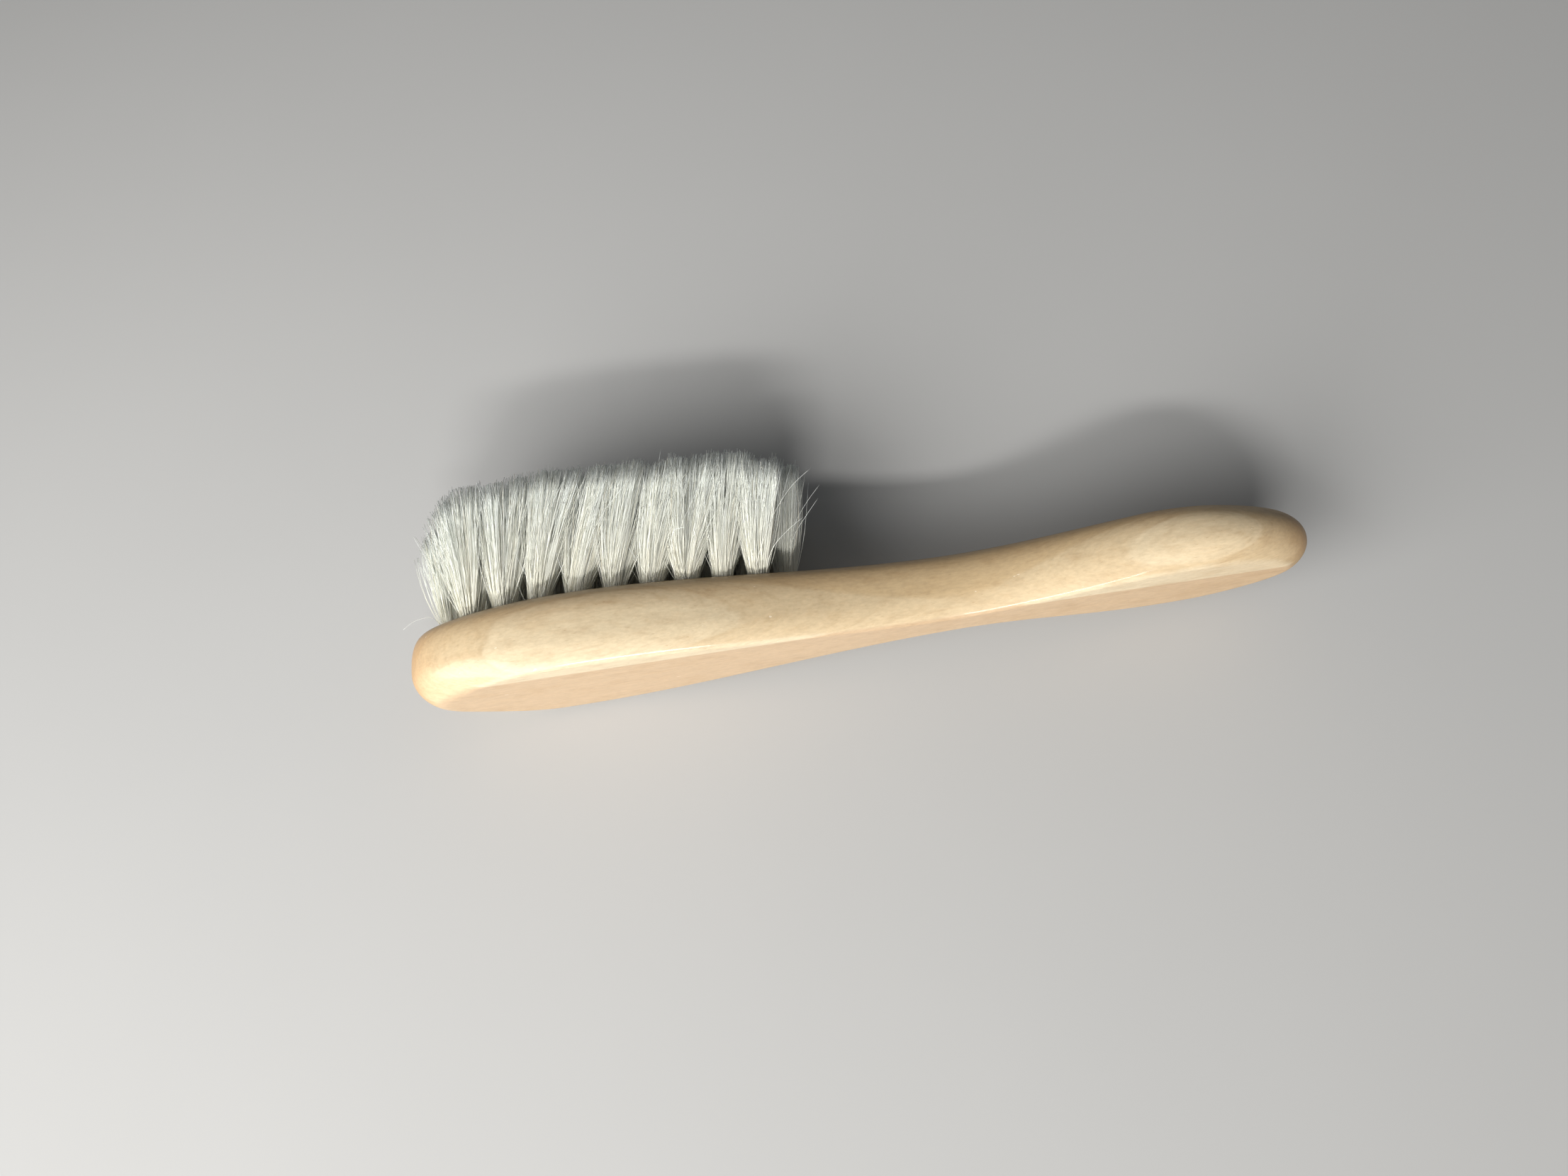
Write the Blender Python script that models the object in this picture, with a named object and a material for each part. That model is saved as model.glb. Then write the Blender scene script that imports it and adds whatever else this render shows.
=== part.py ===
"""Clothes brush: a one-piece wooden handle filled with tufts of goat hair.

Each tuft is a bunch of hair folded over a flat wire anchor, and anchor and tuft are pressed together into a
blind hole in the wood. The brush lies on its side, as it does when it is put down.

In the brush's own coordinates X runs along the handle from the nose of the head to the end of the grip, Y
runs from the flat back to the hair tips, and Z runs across the brush from its middle plane. Lengths are in
metres.
"""
import math

import bmesh
import bpy

# Overall sizes
LENGTH = 0.170
TIP_HEIGHT = 0.0405  # flat back to the longest hair tips
GAP = 0.0003  # left between pieces that touch

# Plan of the handle: half widths at the head, the waist and the grip, joined by smooth curves
HEAD_X, HEAD_HALF = 0.032, 0.0145
WAIST_X, WAIST_HALF = 0.106, 0.0052
GRIP_X, GRIP_HALF = 0.150, 0.0119
NOSE_POWER, END_POWER = 2.3, 1.85  # superellipse powers of the two rounded ends

# (distance along the handle, value), eased from one to the next
THICKNESS = [(0.006, 0.0145), (0.030, 0.0152), (WAIST_X, 0.0132), (0.140, 0.0128), (LENGTH, 0.0114)]
# The sides bulge: each is widest at the bulge's height, and curves in from there to the back and to the face.
BULGE_HEIGHT = [(0.0, 0.0068), (0.025, 0.0058), (WAIST_X, 0.0052), (LENGTH, 0.0056)]
BACK_INSET = [(0.0, 0.0066), (0.025, 0.0019), (0.125, 0.0017), (LENGTH, 0.0046)]
# How far a side has turned, in radians, where it meets the back
BACK_TURN = [(0.0, 1.48), (0.025, 0.84), (0.140, 0.84), (LENGTH, 1.08)]
FACE_INSET = [(0.0, 0.0046), (0.030, 0.0052), (0.090, 0.0044), (0.140, 0.0044), (LENGTH, 0.0074)]
FACE_POWER = [(0.090, 2.8), (0.125, 2.0)]  # superellipse power of a side's upper part: fuller at the head
NOSE_STEPS, SHANK_STEPS, END_STEPS = 9, 18, 8
BACK_STEPS, FACE_STEPS = 4, 6

# Holes and anchors
HOLE_RADIUS, HOLE_DEPTH, HOLE_SIDES = 0.0024, 0.0085, 14
ANCHOR_LENGTH, ANCHOR_WIDTH, ANCHOR_THICKNESS = 0.0056, 0.0018, 0.0004
FOLD = 0.0014  # hair under the anchor, between it and the bottom of the hole

# Rows of tufts: (name, side, distance of each hole from the nose). The holes were drilled by eye.
ROWS = [
    ("upper", 1, (0.0141, 0.0206, 0.0272, 0.0346, 0.0420, 0.0491, 0.0559, 0.0625, 0.0691)),
    ("middle", 0, (0.0082, 0.0155, 0.0229, 0.0302, 0.0375, 0.0449, 0.0522, 0.0595, 0.0668, 0.0738)),
    ("lower", -1, (0.0142, 0.0212, 0.0282, 0.0352, 0.0422, 0.0492, 0.0562, 0.0632, 0.0702)),
]
ROW_OFFSET = 0.0070  # outer rows from the middle plane
ROW_MARGIN = 0.0051  # least distance of an outer tuft's axis from the outline
TIP_ROW_OFFSET = 0.0086  # outer rows from the middle plane, at the hair tips

# Tufts
TUFT_SIDES = 10
ROOT_RADIUS = 0.0020
TIP_HALF_WIDTH = {"upper": 0.0036, "middle": 0.0046, "lower": 0.0036}  # across the brush
TIP_EDGE = 0.0010  # rounding of each tuft's tip
# How far the tips lean along the brush: towards the nose at the first tuft, towards the grip elsewhere
LEAN = [(0.006, -0.0025), (0.034, 0.0072), (0.075, 0.0040)]
# The hair is shorter at both ends: (start of the fall, its end, how much shorter)
NOSE_FALL = (0.014, 0.003, 0.0035)
REAR_FALL = (0.034, 0.080, 0.0062)


def ease(x, start, end):
    """Smooth ramp from 0 at start to 1 at end."""
    t = min(max((x - start) / (end - start), 0.0), 1.0)
    return t * t * (3.0 - 2.0 * t)


def along(x, stations):
    """Value at x of a list of (x, value) stations, eased between them."""
    value = stations[0][1]
    for (x0, v0), (x1, v1) in zip(stations, stations[1:]):
        value += (v1 - v0) * ease(x, x0, x1)
    return value


def nose_point(angle, inset):
    """Point of the rounded nose: angle 0 at its tip, 90 degrees at the head's widest section."""
    x = HEAD_X - (HEAD_X - inset) * math.cos(angle) ** (2 / NOSE_POWER)
    return x, (HEAD_HALF - inset) * math.sin(angle) ** (2 / NOSE_POWER)


def end_point(angle, inset):
    """Point of the rounded grip end: angle 0 at its tip, 90 degrees at the grip's widest section."""
    x = GRIP_X + (LENGTH - GRIP_X - inset) * math.cos(angle) ** (2 / END_POWER)
    return x, (GRIP_HALF - inset) * math.sin(angle) ** (2 / END_POWER)


def shank_half(x):
    """Half width between the head's and the grip's widest sections."""
    return along(x, [(HEAD_X, HEAD_HALF), (WAIST_X, WAIST_HALF), (GRIP_X, GRIP_HALF)])


def shank_point(x, inset):
    return x, shank_half(x) - inset


def outline_stations():
    """(point function, its argument) of each point of the half outline, from the nose to the grip end."""
    quarter = math.pi / 2
    nose = [(nose_point, quarter * i / NOSE_STEPS) for i in range(NOSE_STEPS + 1)]
    span = GRIP_X - HEAD_X
    shank = [(shank_point, HEAD_X + span * i / SHANK_STEPS) for i in range(1, SHANK_STEPS)]
    end = [(end_point, quarter * i / END_STEPS) for i in range(END_STEPS, -1, -1)]
    return nose + shank + end


def section_profile(x):
    """(inset, height) up one side of the section at x, from the edge of the back to the edge of the face."""
    bulge, top = along(x, BULGE_HEIGHT), along(x, THICKNESS)
    turn, inset, face = along(x, BACK_TURN), along(x, BACK_INSET), along(x, FACE_INSET)
    depth, drop = inset / (1 - math.cos(turn)), bulge / math.sin(turn)
    power = 2 / along(x, FACE_POWER)
    profile = []
    for i in range(BACK_STEPS):
        a = turn * (1 - i / BACK_STEPS)
        profile.append((depth * (1 - math.cos(a)), bulge - drop * math.sin(a)))
    for i in range(FACE_STEPS + 1):
        a = math.pi / 2 * i / FACE_STEPS
        reach, rise = max(math.cos(a), 0.0) ** power, math.sin(a) ** power
        profile.append((face * (1 - reach), bulge + (top - bulge) * rise))
    return profile


def build_handle(mesh):
    """Skin the handle: one run of points per outline station, mirrored, then strips between the runs."""
    bm = bmesh.new()
    columns = []
    for function, argument in outline_stations():
        outline_x = function(argument, 0.0)[0]
        outline_top = along(outline_x, THICKNESS)
        column = []
        for inset, height in section_profile(outline_x):
            x, z = function(argument, inset)
            # The face isn't level: a point moved inwards takes its share of the thickness at its new place.
            column.append((x, height + height / outline_top * (along(x, THICKNESS) - outline_top), z))
        columns.append(column)

    def side_verts(sign):
        runs = [[bm.verts.new((x, y, sign * z)) for x, y, z in column] for column in columns[1:-1]]
        return [tip_run] + runs + [end_run]

    tip_run = [bm.verts.new((x, y, 0.0)) for x, y, z in columns[0]]
    end_run = [bm.verts.new((x, y, 0.0)) for x, y, z in columns[-1]]
    near, far = side_verts(1), side_verts(-1)
    last = len(columns[0]) - 1
    for i in range(len(columns) - 1):
        for j in range(last):
            bm.faces.new((near[i][j], near[i + 1][j], near[i + 1][j + 1], near[i][j + 1]))
            bm.faces.new((far[i + 1][j], far[i][j], far[i][j + 1], far[i + 1][j + 1]))
        for j, flip in ((0, True), (last, False)):
            ladder = [near[i][j], near[i + 1][j], far[i + 1][j], far[i][j]]
            corners = list(dict.fromkeys(reversed(ladder) if flip else ladder))
            bm.faces.new(corners)
    bmesh.ops.recalc_face_normals(bm, faces=bm.faces)
    bm.to_mesh(mesh)
    bm.free()


def tuft_places():
    """(row name, number, x, z, side, x of the holes before and after it in the row) of each tuft's hole."""
    places = []
    for row, side, stations in ROWS:
        before = 2 * stations[0] - stations[1]
        after = 2 * stations[-1] - stations[-2]
        line = (before, *stations, after)
        for i, x in enumerate(stations):
            z = side * min(ROW_OFFSET, shank_half(x) - ROW_MARGIN)
            places.append((row, i + 1, x, z, side, (line[i], line[i + 2])))
    return places


def hole_bottom(x):
    return along(x, THICKNESS) - HOLE_DEPTH


def anchor_height(x):
    """Height of the middle of the anchor in the hole at x."""
    return hole_bottom(x) + GAP + FOLD + ANCHOR_WIDTH / 2


def build_holes(mesh):
    """Blind holes, round and square to the back."""
    bm = bmesh.new()
    for row, number, x, z, side, beside in tuft_places():
        ring = []
        for i in range(HOLE_SIDES):
            a = 2 * math.pi * (i + 0.5) / HOLE_SIDES
            dx, dz = HOLE_RADIUS * math.cos(a), HOLE_RADIUS * math.sin(a)
            ring.append(bm.verts.new((x + dx, hole_bottom(x), z + dz)))
        bottom = bm.faces.new(ring)
        walls = bmesh.ops.extrude_face_region(bm, geom=[bottom], use_keep_orig=True)
        top = [v for v in walls["geom"] if isinstance(v, bmesh.types.BMVert)]
        bmesh.ops.translate(bm, verts=top, vec=(0.0, 2 * HOLE_DEPTH, 0.0))
    bmesh.ops.recalc_face_normals(bm, faces=bm.faces)
    bm.to_mesh(mesh)
    bm.free()


def add_box(bm, centre, size):
    box = bmesh.ops.create_cube(bm, size=1.0)
    bmesh.ops.scale(bm, verts=box["verts"], vec=size)
    bmesh.ops.translate(bm, verts=box["verts"], vec=centre)


def build_clearances(mesh):
    """The space of each anchor, with the gap round it: a pocket in the wood and a way through the hair."""
    bm = bmesh.new()
    size = [side + 2 * GAP for side in (ANCHOR_LENGTH, ANCHOR_WIDTH, ANCHOR_THICKNESS)]
    for row, number, x, z, side, beside in tuft_places():
        add_box(bm, (x, anchor_height(x), z), size)
    bm.to_mesh(mesh)
    bm.free()


def tip_height(x):
    """Height of the trimmed hair tips at x."""
    height = TIP_HEIGHT
    for start, end, fall in (NOSE_FALL, REAR_FALL):
        height -= fall * max((x - start) / (end - start), 0.0) ** 2
    return height


def tip_x(x):
    """Where the tips are of the tuft whose hole is at x."""
    return x + along(x, LEAN)


def tip_half_length(x, beside):
    """Half the length of a tuft's tips along the brush, clear of the tufts before and after it in its row."""
    before, after = beside
    return min(tip_x(after) - tip_x(x), tip_x(x) - tip_x(before)) / 2 - GAP


def tuft_sections(x):
    """(part of the free length, height, scale of the section) from the fold up to the tips."""
    mouth, bottom = along(x, THICKNESS), hole_bottom(x) + GAP
    top = tip_height(tip_x(x))
    sections = [(0.0, bottom, 0.55), (0.0, bottom + 0.0005, 0.88), (0.0, bottom + 0.0012, 1.0)]
    for part in (0.0, 0.2, 0.5):
        sections.append((part, mouth + (top - mouth) * part, 1.0))
    return sections + [(1.0, top - TIP_EDGE, 1.0), (1.0, top, 0.7)]


def build_tuft(mesh, row, x, z, side, beside):
    """Skin one tuft, measured from its hole's axis: round at the root, wider and leaning at the tips."""
    bm = bmesh.new()
    lean_x, lean_z = tip_x(x) - x, side * TIP_ROW_OFFSET - z
    rings = []
    for part, height, scale in tuft_sections(x):
        half_x = scale * (ROOT_RADIUS + (tip_half_length(x, beside) - ROOT_RADIUS) * part)
        half_z = scale * (ROOT_RADIUS + (TIP_HALF_WIDTH[row] - ROOT_RADIUS) * part)
        ring = []
        for i in range(TUFT_SIDES):
            a = 2 * math.pi * i / TUFT_SIDES
            dx = lean_x * part + half_x * math.cos(a)
            rise = tip_height(x + dx) - tip_height(tip_x(x)) if part == 1.0 else 0.0
            ring.append(bm.verts.new((dx, height + rise, lean_z * part + half_z * math.sin(a))))
        rings.append(ring)
    loops = [[bm.edges.new(pair) for pair in zip(ring, ring[1:] + ring[:1])] for ring in rings]
    for low, high in zip(loops, loops[1:]):
        bmesh.ops.bridge_loops(bm, edges=low + high)
    for loop in (loops[0], loops[-1]):
        bmesh.ops.contextual_create(bm, geom=loop)
    bmesh.ops.recalc_face_normals(bm, faces=bm.faces)
    bm.to_mesh(mesh)
    bm.free()


def build_anchor(mesh):
    """Flat strip of wire, wider than the hole, so that its ends bite into the wood."""
    bm = bmesh.new()
    add_box(bm, (0.0, 0.0, 0.0), (ANCHOR_LENGTH, ANCHOR_WIDTH, ANCHOR_THICKNESS))
    bm.to_mesh(mesh)
    bm.free()


def make_material(name, colour, roughness, metallic):
    material = bpy.data.materials.new(name)
    material.use_nodes = True
    shader = material.node_tree.nodes["Principled BSDF"]
    shader.inputs["Base Color"].default_value = (*colour, 1.0)
    shader.inputs["Roughness"].default_value = roughness
    shader.inputs["Metallic"].default_value = metallic
    return material


def make_object(name, mesh, parent, location=(0.0, 0.0, 0.0), material=None):
    thing = bpy.data.objects.new(name, mesh)
    bpy.context.collection.objects.link(thing)
    thing.parent = parent
    thing.location = location
    if material and not mesh.materials:
        mesh.materials.append(material)
    return thing


def make_cutter(name, build, parent):
    mesh = bpy.data.meshes.new(name)
    build(mesh)
    cutter = make_object(name, mesh, parent)
    cutter.hide_render = True
    cutter.display_type = "WIRE"
    return cutter


def cut(thing, cutter):
    modifier = thing.modifiers.new(cutter.name, "BOOLEAN")
    modifier.operation = "DIFFERENCE"
    modifier.solver = "EXACT"
    modifier.object = cutter


def shade_smooth(mesh):
    mesh.shade_smooth()
    mesh.set_sharp_from_angle(angle=math.radians(40))


def clear_scene():
    for thing in list(bpy.data.objects):
        bpy.data.objects.remove(thing)


def main():
    clear_scene()
    wood = make_material("wood", (0.74, 0.53, 0.29), 0.42, 0.0)
    hair = make_material("goat_hair", (0.82, 0.78, 0.69), 0.60, 0.0)
    steel = make_material("steel_wire", (0.58, 0.57, 0.55), 0.35, 1.0)

    # The origin is under the middle of the brush as it lies on its side.
    brush = bpy.data.objects.new("brush", None)
    bpy.context.collection.objects.link(brush)
    brush.location = (-LENGTH / 2, -TIP_HEIGHT / 2, HEAD_HALF)

    holes = make_cutter("hole_cutter", build_holes, brush)
    clearances = make_cutter("anchor_cutter", build_clearances, brush)

    handle_mesh = bpy.data.meshes.new("handle")
    build_handle(handle_mesh)
    shade_smooth(handle_mesh)
    handle = make_object("handle", handle_mesh, brush, material=wood)
    cut(handle, holes)
    cut(handle, clearances)

    anchor_mesh = bpy.data.meshes.new("anchor")
    build_anchor(anchor_mesh)
    for row, number, x, z, side, beside in tuft_places():
        tuft_mesh = bpy.data.meshes.new(f"tuft_{row}_{number:02d}")
        build_tuft(tuft_mesh, row, x, z, side, beside)
        shade_smooth(tuft_mesh)
        tuft = make_object(tuft_mesh.name, tuft_mesh, brush, (x, 0.0, z), hair)
        cut(tuft, clearances)
        make_object(f"anchor_{row}_{number:02d}", anchor_mesh, brush, (x, anchor_height(x), z), steel)


main()
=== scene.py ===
"""Clothes brush: a lacquered wooden handle and goat hair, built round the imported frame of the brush."""

import math

import bmesh
import bpy
import numpy as np
from bpy.props import FloatProperty, FloatVectorProperty, IntProperty, PointerProperty
from mathutils import Matrix, Vector


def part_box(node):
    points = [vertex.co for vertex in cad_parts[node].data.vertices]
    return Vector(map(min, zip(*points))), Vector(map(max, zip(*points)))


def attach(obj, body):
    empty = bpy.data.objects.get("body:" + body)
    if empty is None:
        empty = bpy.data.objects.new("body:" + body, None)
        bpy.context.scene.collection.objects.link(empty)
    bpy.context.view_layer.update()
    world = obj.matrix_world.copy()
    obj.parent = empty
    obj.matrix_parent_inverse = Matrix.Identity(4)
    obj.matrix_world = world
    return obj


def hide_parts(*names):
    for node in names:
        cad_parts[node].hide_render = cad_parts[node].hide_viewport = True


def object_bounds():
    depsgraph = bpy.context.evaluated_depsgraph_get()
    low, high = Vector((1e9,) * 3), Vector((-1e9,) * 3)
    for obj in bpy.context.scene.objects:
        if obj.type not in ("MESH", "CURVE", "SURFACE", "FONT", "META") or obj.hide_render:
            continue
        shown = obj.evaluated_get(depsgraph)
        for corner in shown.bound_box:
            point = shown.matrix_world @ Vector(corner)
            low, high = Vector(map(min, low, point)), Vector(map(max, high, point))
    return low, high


bl_info = {
    "name": "Clothes Brush",
    "version": (1, 0, 0),
    "blender": (4, 5, 0),
    "location": "3D View > Sidebar > Brush",
    "description": "Builds the wooden handle, the hair tufts and the stage of a clothes brush",
    "category": "Object",
}

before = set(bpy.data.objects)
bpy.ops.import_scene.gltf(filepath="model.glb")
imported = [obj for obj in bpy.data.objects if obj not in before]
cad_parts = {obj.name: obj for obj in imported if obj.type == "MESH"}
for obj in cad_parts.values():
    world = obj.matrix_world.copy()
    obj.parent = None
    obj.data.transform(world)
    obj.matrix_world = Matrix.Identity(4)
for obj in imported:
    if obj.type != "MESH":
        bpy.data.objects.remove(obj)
CAD_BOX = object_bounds()
HANDLE_LOW, HANDLE_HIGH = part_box("handle")
# The brush's own coordinates start at the nose, on the flat back, in the middle plane.
BRUSH_ORIGIN = Vector((HANDLE_LOW.x, HANDLE_LOW.y, (HANDLE_LOW.z + HANDLE_HIGH.z) / 2))
TUFT_NODES = sorted(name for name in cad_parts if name.startswith("tuft_"))
ANCHOR_NODES = sorted(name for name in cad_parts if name.startswith("anchor_"))
BODY = "root"
MM = 0.001
# Places along the brush, from the nose, where its sections change.
NOSE_START = 6 * MM
NOSE_END = 25 * MM
HEAD_MIDDLE = 30 * MM
HEAD_END = 90 * MM
GRIP_START = 125 * MM
GRIP_MIDDLE = 140 * MM
SHARP_ANGLE = 35.0  # degrees; edges turned more than this stay crisp in the shading


# ---------------------------------------------------------------------------------------------- sizes


def length_property(name, description, default):
    return FloatProperty(name=name, description=description, default=default, unit="LENGTH", precision=5)


def number_property(name, description, default, **options):
    return FloatProperty(name=name, description=description, default=default, **options)


def count_property(name, description, default, least=0):
    return IntProperty(name=name, description=description, default=default, min=least)


def colour_property(name, description, default):
    return FloatVectorProperty(
        name=name,
        description=description,
        default=default,
        subtype="COLOR",
        size=3,
        min=0.0,
        max=1.0,
    )


class HandleSizes(bpy.types.PropertyGroup):
    """Plan, thickness and edge rounding of the handle, measured from the nose."""

    length: length_property("Length", "Nose to grip end", HANDLE_HIGH.x - HANDLE_LOW.x)
    head_x: length_property("Head position", "Distance of the widest part of the head", 32 * MM)
    head_width: length_property("Head width", "Width of the head", HANDLE_HIGH.z - HANDLE_LOW.z)
    waist_x: length_property("Waist position", "Distance of the narrowest part", 106 * MM)
    waist_width: length_property("Waist width", "Width of the waist", 10.4 * MM)
    grip_x: length_property("Grip position", "Distance of the widest part of the grip", 150 * MM)
    grip_width: length_property("Grip width", "Width of the grip", 23.8 * MM)
    nose_power: number_property("Nose power", "Superellipse power of the nose", 2.3)
    end_power: number_property("End power", "Superellipse power of the grip end", 1.85)

    nose_thickness: length_property("Nose thickness", "Back to face at the nose", 14.5 * MM)
    head_thickness: length_property(
        "Head thickness", "Back to face at the head", HANDLE_HIGH.y - HANDLE_LOW.y
    )
    waist_thickness: length_property("Waist thickness", "Back to face at the waist", 13.2 * MM)
    grip_thickness: length_property("Grip thickness", "Back to face at the grip", 12.8 * MM)
    end_thickness: length_property("End thickness", "Back to face at the grip end", 11.4 * MM)

    bulge_height: length_property("Bulge height", "Height of the widest line above the back", 5.8 * MM)
    nose_bulge_height: length_property("Nose bulge height", "The same at the nose", 6.8 * MM)
    waist_bulge_height: length_property("Waist bulge height", "The same at the waist", 5.2 * MM)
    end_bulge_height: length_property("End bulge height", "The same at the grip end", 5.6 * MM)

    back_inset: length_property("Back inset", "From the widest line in to the back's edge", 1.9 * MM)
    nose_back_inset: length_property("Nose back inset", "The same at the nose", 6.6 * MM)
    waist_back_inset: length_property("Waist back inset", "The same from the waist on", 1.7 * MM)
    end_back_inset: length_property("End back inset", "The same at the grip end", 4.6 * MM)

    face_inset: length_property("Face inset", "From the widest line in to the face's edge", 5.2 * MM)
    nose_face_inset: length_property("Nose face inset", "The same at the nose", 4.6 * MM)
    grip_face_inset: length_property("Grip face inset", "The same on the grip", 4.4 * MM)
    end_face_inset: length_property("End face inset", "The same at the grip end", 7.4 * MM)

    head_power: number_property("Head power", "Fullness of the head's upper sides", 2.8)
    arris: length_property("Arris", "Width of the softened edge of the back", 0.5 * MM)
    hole_radius: length_property("Hole radius", "Radius of the holes for the tufts", 2.4 * MM)


class HairLook(bpy.types.PropertyGroup):
    """How the tufts of hair grow."""

    hairs: count_property("Hairs", "Hairs in each tuft", 900, least=10)
    wisps: count_property("Wisps", "Wisps that the hairs of a tuft draw together in", 18, least=1)
    thickness: length_property("Thickness", "Radius of a hair at its root", 0.050 * MM)
    root_radius: length_property("Root radius", "Radius of a tuft where it leaves its hole", 1.9 * MM)
    fan_length: length_property("Fan length", "Half a tuft's spread along the brush", 6.0 * MM)
    fan_width: length_property("Fan width", "Half a tuft's spread across the brush", 4.0 * MM)
    gather: number_property("Gather", "How far hairs draw together in wisps", 0.9, subtype="FACTOR")
    raggedness: length_property("Raggedness", "Unevenness of the trimmed tips", 0.7 * MM)
    wander: length_property("Wander", "Sideways bow of single hairs", 0.45 * MM)
    seed: count_property("Seed", "Start of the random draws", 7)
    white: colour_property("White", "Clean white hairs", (0.95, 0.99, 0.96))
    cream: colour_property("Cream", "Yellowish hairs", (0.88, 0.89, 0.80))
    tan: colour_property("Tan", "Darkest hairs", (0.80, 0.73, 0.58))
    # Root: partly the hair's own yellow tint, partly painted shade near the roots between the tufts.
    root: colour_property("Root", "Yellow tint of every hair near its root", (0.86, 0.77, 0.56))


class WoodLook(bpy.types.PropertyGroup):
    """Colours and lacquer of the wood."""

    cream: colour_property("Cream", "Band along the edge of the back", (0.60, 0.50, 0.345))
    pale: colour_property("Pale", "Creamy layer of the wood", (0.62, 0.505, 0.335))
    honey: colour_property("Honey", "Warm outer layer of the wood", (0.51, 0.375, 0.215))
    # Brown is also the colour of the painted shade towards the face and the grip end, besides the real
    # flecks and mottles.
    brown: colour_property("Brown", "Darker flecks and mottles", (0.36, 0.23, 0.11))
    pink: colour_property("Pink", "Pinkish inner layer of the wood", (0.49, 0.355, 0.225))
    nick: colour_property("Nick", "Bare wood in small nicks", (0.92, 0.84, 0.68))
    end_grain: colour_property("End grain", "Orange tone of both ends", (0.42, 0.25, 0.115))
    lacquer: number_property("Lacquer", "Weight of the lacquer", 0.26, subtype="FACTOR")


class StageSettings(bpy.types.PropertyGroup):
    """Floor, lights and camera."""

    floor_colour: colour_property("Floor", "Colour of the floor", (0.42, 0.417, 0.41))
    key_power: number_property("Key power", "Power of the large light", 2.75, unit="POWER")
    strip_power: number_property("Strip power", "Power of the long low light", 2.2, unit="POWER")
    fill: number_property("Fill", "Strength of the light from all round", 0.14)
    lens: number_property("Lens", "Focal length in millimetres", 26.0)


# ---------------------------------------------------------------------------------------------- shaders


class Signal:
    """A shader socket in a sum: each operator adds the Math node that works it out."""

    def __init__(self, graph, socket):
        self.graph = graph
        self.socket = socket

    def math(self, operation, *operands):
        return self.graph.add("ShaderNodeMath", {"operation": operation}, dict(enumerate(operands)))

    def output(self, key):
        """Another output of the same node."""
        return Signal(self.graph, self.socket.node.outputs[key])

    def __add__(self, other):
        return self.math("ADD", self, other)

    __radd__ = __add__

    def __sub__(self, other):
        return self.math("SUBTRACT", self, other)

    def __rsub__(self, other):
        return self.graph.add("ShaderNodeMath", {"operation": "SUBTRACT"}, {0: other, 1: self})

    def __mul__(self, other):
        return self.math("MULTIPLY", self, other)

    __rmul__ = __mul__

    def __truediv__(self, other):
        return self.math("DIVIDE", self, other)

    def __pow__(self, other):
        return self.math("POWER", self, other)

    def __abs__(self):
        return self.math("ABSOLUTE", self)

    def at_most(self, limit):
        return self.math("MINIMUM", self, limit)


class ShaderGraph:
    """The nodes of one material."""

    def __init__(self, name):
        self.material = bpy.data.materials.new(name)
        self.material.use_nodes = True
        self.tree = self.material.node_tree
        self.tree.nodes.clear()

    def add(self, kind, settings=None, sockets=None, output=0):
        """A new node: its settings first, then the values or links of its sockets."""
        node = self.tree.nodes.new(kind)
        for key, value in (settings or {}).items():
            if key == "stops":
                self.set_stops(node.color_ramp, value)
            else:
                setattr(node, key, value)
        for key, value in (sockets or {}).items():
            if isinstance(value, Signal):
                self.tree.links.new(value.socket, node.inputs[key])
            else:
                node.inputs[key].default_value = value
        return Signal(self, node.outputs[output]) if node.outputs else node

    @staticmethod
    def set_stops(ramp, stops):
        while len(ramp.elements) < len(stops):
            ramp.elements.new(1.0)
        for element, (position, colour) in zip(ramp.elements, stops):
            element.position = position
            element.color = opaque(colour)

    def place(self, scale):
        """The object's coordinates in millimetres, stretched by a scale for each axis."""
        raw = self.add("ShaderNodeTexCoord", output="Object")
        return self.vector("MULTIPLY", raw, [part / MM for part in scale])

    def parts(self, vector):
        """The three numbers of a vector."""
        first = self.add("ShaderNodeSeparateXYZ", None, {0: vector})
        return [first.output(key) for key in range(3)]

    def combined(self, x, y, z):
        """A vector of three numbers."""
        return self.add("ShaderNodeCombineXYZ", None, {0: x, 1: y, 2: z})

    def vector(self, operation, first, second):
        return self.add("ShaderNodeVectorMath", {"operation": operation}, {0: first, 1: second})

    def noise(self, where, scale=1.0, detail=2.0, roughness=0.5):
        sockets = {"Vector": where, "Scale": scale, "Detail": detail, "Roughness": roughness}
        return self.add("ShaderNodeTexNoise", None, sockets)

    def between(self, value, low, high):
        """Smooth step from 0 at low to 1 at high."""
        sockets = {"Value": value, "From Min": low, "From Max": high}
        return self.add("ShaderNodeMapRange", {"interpolation_type": "SMOOTHSTEP"}, sockets)

    def mix(self, factor, first, second, blend="MIX"):
        settings = {"data_type": "RGBA", "blend_type": blend}
        return self.add("ShaderNodeMix", settings, {0: factor, 6: first, 7: second}, output=2)

    def bump(self, height, strength, distance):
        sockets = {"Strength": strength, "Distance": distance, "Height": height}
        return self.add("ShaderNodeBump", None, sockets)

    def finish(self, shader_sockets):
        """Principled shader with these sockets as the material's surface."""
        shader = self.add("ShaderNodeBsdfPrincipled", None, shader_sockets)
        self.add("ShaderNodeOutputMaterial", None, {"Surface": shader})
        return self.material


def opaque(colour):
    """The same colour with its alpha, as the shader sockets take it."""
    return (*colour, 1.0)


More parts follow.
